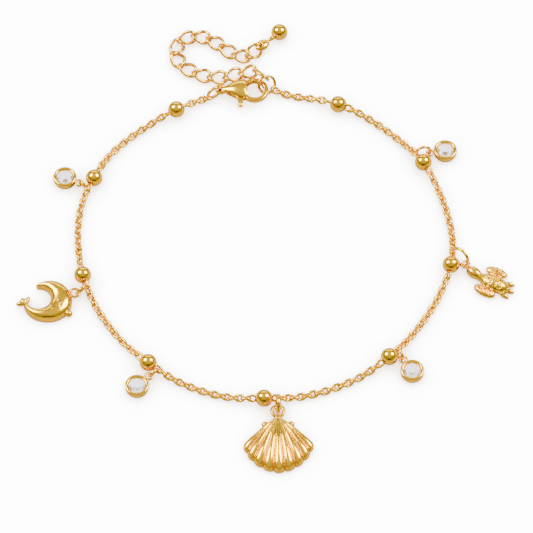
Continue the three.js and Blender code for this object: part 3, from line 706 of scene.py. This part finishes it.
# %% Clasp lever
LEVER = [
    (-4.3, -0.6), (-4.25, -1.1), (-3.4, -1.5), (-3.05, -1.9), (-2.8, -3.3), (-2.6, -3.55),
    (-2.2, -3.5), (-2.0, -3.2), (-2.05, -1.3), (-1.5, 0.4), (-1.45, 1.3), (-1.9, 1.9), (-2.6, 1.3),
    (-3.4, 0.3),
]
plate = SLOT / 2 - 0.1
gate = cast(
    [hook_bar(100, 150), prism(LEVER, -plate, plate), ellipsoid((0.5, 0.45, 0.5), (-2.45, -3.15, 0))],
    cuts=[seam_tool(SEAM_RADIUS - 0.1, True)],
    step=0.06,
    relax=4,
)
place("clasp lever", move(gate, CLASP_YAW, HOOK_CENTRE), cast_gold, body="lever", nodes=["clasp_lever"])

# %% [markdown]
# ## End drop
# A small solid ball on a leaf-shaped bail closes the extender, so that the last link can't be lost.

# %% End drop
BALL_AT = np.array([2.35, 44.0])
start = extender.at(CURB["count"] * CURB["pitch"])
to_ball = BALL_AT - start[:2]
gap = float(np.linalg.norm(to_ball))
bail = cast(
    [
        ellipsoid((1.45, 1.05, 0.65), (0.67, 0, start[2])),
        ellipsoid((0.9, 0.42, 0.42), (gap - 1.75, 0, start[2] + 0.05)),
        ellipsoid((1.5, 1.5, 1.5), (gap, 0, 1.5), around=64, rows=40),
    ],
    cuts=[disc(0.45, (0.12, 0), 0, 3, 32)],
    step=0.06,
    relax=4,
    floor=0.0,
)
angle = math.degrees(math.atan2(to_ball[1], to_ball[0]))
place("end drop", move(bail, angle, (start[0], start[1], 0)), bead_gold, nodes=["end_drop"])

# %% [markdown]
# ## Crystal drops
# A turned cup with a rolled rim holds a round brilliant by its edge. The stone is cut with a flat
# table, kite-shaped crown facets and a pointed back, and stays flat-shaded so each facet is a mirror.

# %% Crystal drops
DROP = {"radius": 2.05, "height": 1.65, "seat": 1.42, "loop": 0.6, "loop_wire": 0.4, "loop_z": 1.0}
cup = [(0.0, 0.02), (1.45, 0.02), (1.7, 0.06), (1.88, 0.2), (1.98, 0.45), (2.04, 0.8), (2.05, 1.2)]
cup += [(2.05, 1.38), (2.02, 1.5), (1.95, 1.59), (1.84, 1.64), (1.72, 1.65), (1.6, 1.62)]
cup += [(1.5, 1.54), (1.44, 1.42), (1.42, 1.3), (1.42, 0.95), (0.9, 0.5), (0.0, 0.3)]


def foil_cup():
    """A shallow cup of silvered pleats behind the stone, sixteen round."""
    around, outer, pleat = 32, 1.38, 0.14
    verts = [(0, 0, 0.36), (0, 0, 0.32)]
    for i in range(around):
        x, y, _ = heading(360 * i / around)
        dip = pleat * (i % 2)
        verts += [(0.8 * x, 0.8 * y, 0.66 - dip), (outer * x, outer * y, 1.02 - dip / 2)]
        verts += [(0.8 * x, 0.8 * y, 0.48), (outer * x, outer * y, 0.93)]
    faces = []
    for i in range(around):
        a, b = 2 + 4 * i, 2 + 4 * ((i + 1) % around)
        faces += [(0, a, b), (a, a + 1, b + 1), (a, b + 1, b), (a + 1, a + 3, b + 3, b + 1)]
        faces += [(1, b + 2, a + 2), (a + 2, b + 2, b + 3, a + 3)]
    return np.array(verts), faces




def brilliant(radius, girdle_z, table_z, culet_z):
    """A round brilliant of eight mains, as flat facets."""
    def ring(r, z, count, turn):
        angles = [2 * math.pi * (i + turn) / count for i in range(count)]
        return [(r * math.cos(a), r * math.sin(a), z) for a in angles]

    crown = table_z - girdle_z
    table = ring(radius * 0.55, table_z, 8, 0.5)
    star = ring(radius * 0.76, girdle_z + crown * 0.62, 8, 0)
    upper = ring(radius, girdle_z + 0.03, 16, 0)
    lower = ring(radius, girdle_z - 0.03, 16, 0)
    mains = ring(radius * 0.3, culet_z + (girdle_z - culet_z) * 0.25, 8, 0.5)
    verts = [*table, *star, *upper, *lower, *mains, (0, 0, culet_z)]
    t, s, u, w, m, c = 0, 8, 16, 32, 48, 56
    faces = [tuple(range(8))]
    for i in range(8):
        j = (i + 1) % 8
        faces.append((t + i, s + i, t + (i - 1) % 8)[::-1])
        faces.append((t + i, s + i, u + 2 * i + 1, s + j))
        faces += [(s + i, u + 2 * i, u + 2 * i + 1), (s + i, u + (2 * i - 1) % 16, u + 2 * i)]
        faces += [(u + k, w + k, w + (k + 1) % 16, u + (k + 1) % 16) for k in (2 * i, 2 * i + 1)]
        faces.append((w + 2 * i, m + i, w + 2 * i + 1))
        faces.append((w + 2 * i + 1, m + i, w + (2 * i + 2) % 16))
        faces.append((w + 2 * i, m + (i - 1) % 8, m + i))
        faces.append((m + (i - 1) % 8, c, m + i))
    return np.array(verts), faces


for k in range(1, 5):
    low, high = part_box(f"drop_{k}_stone")
    middle = np.array([(low.x + high.x) / 2, (low.y + high.y) / 2, 0]) / MM
    hole = node_points(f"drop_{k}_setting")
    far = hole[np.argmax(np.linalg.norm((hole - middle)[:, :2], axis=1))]
    out = unit(np.array([*(far - middle)[:2], 0.0]))
    loop_at = middle + out * (DROP["radius"] + DROP["loop"] + 0.1) + UP * DROP["loop_z"]
    soup = Soup()
    verts, faces = lathe(cup, 72)
    soup.add(verts + middle, [face[::-1] for face in faces])
    soup.add(*torus(DROP["loop"], DROP["loop_wire"], loop_at))
    place(f"setting {k}", soup.mesh("setting"), bead_gold, nodes=[f"drop_{k}_setting"])
    # The foil behind the stone glows, which is painted light.
    verts, faces = foil_cup()
    backing = Soup().add(verts + middle, faces)
    place(f"foil {k}", backing.mesh("foil"), foil, smooth=False)
    stone_verts, stone_faces = brilliant(1.4, 1.2, 1.58, 0.55)
    spin = np.array([heading(random.uniform(0, 45)), heading(0), UP])
    spin[1] = np.cross(UP, spin[0])
    stone = Soup().add(stone_verts @ spin + middle, stone_faces)
    stone_obj = temp_object([(stone.verts[0], stone_faces)])
    stone_mesh = stone_obj.data
    bpy.data.objects.remove(stone_obj)
    place(
        f"stone {k}", stone_mesh, crystal, nodes=[f"drop_{k}_stone"], smooth=False
    )

# %% [markdown]
# ## Scallop shell
# Ribs fan out from the hinge and end in rounded lobes. The back is flat, so the casting lies flat.

# %% Scallop shell
SHELL = {
    "ribs": 9, "half": 49.0, "length": 10.7, "side": 8.1, "lobe": 0.5, "edge": 0.75, "dome": 1.45,
    "rib": 0.75, "loop": 1.0, "loop_wire": 0.66, "loop_z": 0.95,
}


def rib_crest(share):
    within = (share * SHELL["ribs"]) % 1
    return math.sqrt(max(0.0, 1 - (2 * within - 1) ** 2)) ** 0.9


def shell_top(share, out):
    lean = 2 * share - 1
    rise = min(1.0, 0.55 + 1.2 * out) * math.sqrt(max(0.0, 1 - out**4))
    dome = SHELL["dome"] * rise * math.sqrt(1 - 0.7 * lean * lean)
    groove = SHELL["rib"] * (rib_crest(share) - 0.7) * min(1, 1.5 * out) * (1 - 0.5 * out**6)
    return SHELL["edge"] + dome + groove


def shell_solid():
    columns, rows = SHELL["ribs"] * 16, 28
    apex = SHELL["loop"] - 0.15
    rings = []
    for i in range(columns + 1):
        share = i / columns
        lean = abs(2 * share - 1)
        reach = SHELL["length"] - (SHELL["length"] - SHELL["side"]) * lean**1.6
        reach += SHELL["lobe"] * (rib_crest(share) - 1)
        way = heading(SHELL["half"] * (2 * share - 1))

        def at(out, z):
            return np.array([apex, 0, z]) + way * (0.55 + (reach - 0.55) * out)

        top = [at(j / rows, shell_top(share, j / rows)) for j in range(rows + 1)]
        rings.append([at(0, 0), *top, at(1, SHELL["edge"] * 0.45), at(0.985, 0)])
    return loft(rings)


apex = SHELL["loop"] - 0.15
shell = cast(
    [
        shell_solid(),
        torus(SHELL["loop"], SHELL["loop_wire"], (0, 0, SHELL["loop_z"])),
        ellipsoid((0.62, 0.62, 0.55), (apex + 1.55, 2.2, 0.56)),
        ellipsoid((0.62, 0.62, 0.55), (apex + 1.55, -2.2, 0.56)),
    ],
    step=0.05,
    relax=6,
    floor=0.0,
)


def settle(mesh, node, lies):
    """Turns a casting to the way it lies, and moves it so that its box's middle is its node's."""
    mesh.transform(Matrix.Rotation(math.radians(lies), 4, "Z"))
    points = np.array([v.co for v in mesh.vertices])
    low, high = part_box(node)
    target = np.array([(low.x + high.x) / 2, (low.y + high.y) / 2]) / MM
    shift = target - (points.min(0)[:2] + points.max(0)[:2]) / 2
    mesh.transform(Matrix.Translation(Vector((shift[0], shift[1], 0.0))))
    return mesh


place("scallop shell", settle(shell, "shell_charm", -89.0), cast_gold, nodes=["shell_charm"])

# %% [markdown]
# ## Crescent dolphin
# The body is a crescent with a domed face, the tail's two flukes stand at one horn and a small round
# snout sits on the outside of the curve. A five-pointed star is cut lightly into the face.

# %% Crescent dolphin
DOLPHIN = {
    "outer": 3.95, "tail": 0.55, "bite": (-1.88, 0.5, 2.13), "outer_from": 128, "outer_to": -168,
    "bite_from": 97, "bite_to": -158, "edge": 0.8, "dome": 1.3, "loop": 0.8, "loop_wire": 0.48,
    "loop_z": 0.95, "loop_at": (4.4, 1.57),
}


def crescent():
    rings = []
    slices, across = 90, 20
    for i in range(slices + 1):
        t = i / slices
        swell = min(max((t - 0.72) / 0.28, 0), 1)
        reach = DOLPHIN["outer"] + DOLPHIN["tail"] * swell * swell * (3 - 2 * swell)
        outer = reach * heading(DOLPHIN["outer_from"] + (DOLPHIN["outer_to"] - DOLPHIN["outer_from"]) * t)
        x, y, radius = DOLPHIN["bite"]
        turn = DOLPHIN["bite_from"] + (DOLPHIN["bite_to"] - DOLPHIN["bite_from"]) * t
        inner = np.array([x, y, 0.0]) + radius * heading(turn)
        width = np.linalg.norm(outer - inner)
        height = DOLPHIN["dome"] * min(1, 0.3 + width / 4.5)

        def at(share, z):
            return inner + (outer - inner) * share + UP * z

        top = []
        for j in range(across + 1):
            share = j / across
            z = DOLPHIN["edge"] + height * math.sqrt(max(0, 1 - (2 * share - 1) ** 2))
            top.append(at(share, z))
        rings.append([at(0, 0.12), *top, at(1, 0.12), at(0.94, 0), at(0.06, 0)])
    return loft(rings)


STAR = {"at": (1.22, -1.17), "radius": 1.15, "spin": 20.0}


def star_lines(at, radius, spin):
    """The ten straight lines of a five-pointed star's outline."""
    reaches = [radius if i % 2 == 0 else radius * 0.5 for i in range(10)]
    corners = [np.array([*at, 0.0]) + r * heading(spin + 36 * i) for i, r in enumerate(reaches)]
    return [(corners[i], corners[(i + 1) % 10]) for i in range(10)]


dolphin = cast(
    [
        crescent(),
        ellipsoid((0.75, 0.66, 0.62), (3.4, -2.4, 0.72), -34),
        ellipsoid((0.95, 0.52, 0.5), (-4.85, -0.45, 0.75), 10),
        ellipsoid((0.85, 0.42, 0.5), (-3.85, 0.05, 0.85), 66),
        ellipsoid((0.75, 0.5, 0.5), (-4.5, -0.1, 0.8), 112),
        torus(DOLPHIN["loop"], DOLPHIN["loop_wire"], (*DOLPHIN["loop_at"], DOLPHIN["loop_z"])),
    ],
    step=0.05,
    relax=5,
    floor=0.0,
)
engrave(dolphin, star_lines(STAR["at"], STAR["radius"], STAR["spin"]), 0.15, 0.16)
place("crescent dolphin", settle(dolphin, "dolphin_charm", 0.0), cast_gold, nodes=["dolphin_charm"])

# %% [markdown]
# ## Turtle
# A domed body, a blunt head towards the loop, broad fan-shaped front flippers and a short tail
# between the hind flippers.

# %% Turtle
TURTLE = [  # half lengths, place, yaw
    ((1.5, 1.0, 1.0), (2.0, -0.7, 0.8), -8), ((1.6, 0.75, 0.8), (3.4, -0.9, 0.7), 0),
    ((2.7, 1.55, 1.3), (6.0, -0.95, 0.65), 0), ((2.0, 0.95, 0.65), (5.4, 1.35, 0.6), 4),
    ((2.05, 1.0, 0.65), (5.2, -3.0, 0.6), -4), ((1.35, 0.52, 0.55), (8.1, 0.1, 0.5), 22),
    ((1.4, 0.52, 0.55), (8.2, -1.95, 0.5), -18), ((1.3, 0.5, 0.55), (8.6, -0.9, 0.5), 0),
]


def fan_lines(root, facing, turns, start, end):
    """Grooves that fan out from the root of a flipper."""
    middle = np.array([*root, 0.0])
    return [
        (middle + start * heading(facing + turn), middle + end * heading(facing + turn))
        for turn in turns
    ]


def scale_lines(at, size):
    """Two rows of little arched scales, drawn as short lines."""
    lines = []
    for row in range(2):
        for column in range(4):
            x, y = at[0] + column * size * 1.15, at[1] + (row - 0.5) * size * 1.3
            arch = [np.array([x, y, 0.0]) + size * 0.5 * heading(a) for a in (-100, -50, 0, 50, 100)]
            lines += list(zip(arch, arch[1:]))
    return lines


FAN = (-62, -40, -18, 4, 26, 48)
turtle = cast(
    [ellipsoid(size, at, yaw) for size, at, yaw in TURTLE] + [torus(0.66, 0.42, (0, 0, 0.95))],
    step=0.05,
    relax=2,
    floor=0.0,
)
engrave(turtle, fan_lines((4.7, 0.5), 62, FAN, 0.5, 3.2), 0.2, 0.28, 0.55)
engrave(turtle, fan_lines((4.7, -2.1), -68, FAN, 0.5, 3.2), 0.2, 0.28, 0.55)
engrave(turtle, scale_lines((4.4, -0.95), 0.8), 0.12, 0.1, 1.2)
place("turtle", settle(turtle, "turtle_charm", -28.5), cast_gold, nodes=["turtle_charm"])

# %% [markdown]
# ## Table, light and camera
# Jewellery is shot on white with large soft boxes, so that the metal shows broad pale bands, and with
# something dark left in the room, which gives the beads their small dark spot. The white table that
# the camera sees glows, and its shadows round the pieces are painted shade.

# %% Table
TABLE_GLOW, PAINTED_SHADOW_REACH = 14.0, 3.5
table_mat = bpy.data.materials.new("Table")
table_mat.use_nodes = True
tree = table_mat.node_tree
matte = tree.nodes["Principled BSDF"]
matte.inputs["Base Color"].default_value = (0.42, 0.36, 0.25, 1.0)
matte.inputs["Roughness"].default_value = 0.6
# Painted shadow: ambient occlusion darkens the camera's view of the table to warm brown close under and
# between the pieces.
painted_shadow_ao = tree.nodes.new("ShaderNodeAmbientOcclusion")
painted_shadow_ao.samples = 16
painted_shadow_ao.inputs["Distance"].default_value = PAINTED_SHADOW_REACH * MM
painted_shadow_ramp = tree.nodes.new("ShaderNodeValToRGB")
painted_shadow_ramp.color_ramp.elements[0].color = (0.10, 0.05, 0.02, 1.0)
painted_shadow_ramp.color_ramp.elements[1].color = (1.0, 1.0, 1.0, 1.0)
# The ramp's middle stop is the grey-brown of the painted shadow.
middle = painted_shadow_ramp.color_ramp.elements.new(0.6)
middle.color = (0.42, 0.36, 0.31, 1.0)
tree.links.new(painted_shadow_ao.outputs["AO"], painted_shadow_ramp.inputs["Fac"])
glow = tree.nodes.new("ShaderNodeEmission")
glow.inputs["Strength"].default_value = TABLE_GLOW
tree.links.new(painted_shadow_ramp.outputs["Color"], glow.inputs["Color"])
# Only camera rays see the glowing table with its painted shadow, so no lamp shadow falls on it there; the
# metal reflects the darker matte table.
path = tree.nodes.new("ShaderNodeLightPath")
seen = tree.nodes.new("ShaderNodeMixShader")
tree.links.new(path.outputs["Is Camera Ray"], seen.inputs["Fac"])
tree.links.new(matte.outputs["BSDF"], seen.inputs[1])
tree.links.new(glow.outputs["Emission"], seen.inputs[2])
tree.links.new(seen.outputs["Shader"], tree.nodes["Material Output"].inputs["Surface"])
bpy.ops.mesh.primitive_plane_add(size=3.0, location=(0, 0, -0.00002))
table = bpy.context.object
table.name = "table"
table.data.materials.append(table_mat)


# %% Lights
def soft_box(name, at, size, power, aim=(0, 0, 0), colour=(1, 1, 1)):
    data = bpy.data.lights.new(name, "AREA")
    data.shape, data.size, data.size_y, data.energy, data.color = "RECTANGLE", *size, power, colour
    obj = bpy.data.objects.new(name, data)
    bpy.context.scene.collection.objects.link(obj)
    obj.location = at
    obj.rotation_euler = (Vector(aim) - Vector(at)).to_track_quat("-Z", "Y").to_euler()
    return obj


soft_box("left_box", (-0.42, 0.12, 0.5), (0.30, 0.36), 7.0)
soft_box("right_box", (0.42, 0.12, 0.5), (0.30, 0.36), 7.0)
soft_box("back_box", (0.0, 0.7, 0.35), (0.8, 0.2), 2.0)

# %% Dark card
card_mat = bpy.data.materials.new("Dark card")
card_mat.use_nodes = True
card_mat.node_tree.nodes["Principled BSDF"].inputs["Base Color"].default_value = (0.03, 0.02, 0.01, 1.0)
bpy.ops.mesh.primitive_plane_add(size=1.0, location=(0, -0.62, 0.26))
card = bpy.context.object
card.name = "dark_card"
card.scale = (0.5, 0.26, 1.0)
card.rotation_euler = (math.radians(62), 0, 0)
card.data.materials.append(card_mat)

# %% Room
ROOM = [(0.0, 0.8), (0.35, 0.3), (0.7, 0.62), (0.97, 0.9)]  # share of the way up, brightness
world = bpy.data.worlds.new("Room")
bpy.context.scene.world = world
world.use_nodes = True
tree = world.node_tree
coords = tree.nodes.new("ShaderNodeTexCoord")
height = tree.nodes.new("ShaderNodeSeparateXYZ")
tree.links.new(coords.outputs["Generated"], height.inputs["Vector"])
sky = tree.nodes.new("ShaderNodeValToRGB")
stops = sky.color_ramp.elements
for stop, (place_up, bright) in zip((stops[0], stops[1], stops.new(0.4), stops.new(0.6)), (ROOM[0], ROOM[3], ROOM[1], ROOM[2])):
    stop.position, stop.color = place_up, (bright, bright, bright, 1.0)
tree.links.new(height.outputs["Z"], sky.inputs["Fac"])
tree.links.new(sky.outputs["Color"], tree.nodes["Background"].inputs["Color"])

# %% Camera
SHIFT_Y = -4.3
target = Vector((0, SHIFT_Y * MM, 0))
distance, elevation = 0.6, math.radians(60)
camera = bpy.data.objects.new("camera", bpy.data.cameras.new("camera"))
bpy.context.scene.collection.objects.link(camera)
camera.location = target + distance * Vector((0, -math.cos(elevation), math.sin(elevation)))
camera.rotation_euler = (target - camera.location).to_track_quat("-Z", "Y").to_euler()
camera.data.lens = 231.6
camera.data.clip_start = 0.01
bpy.context.scene.camera = camera
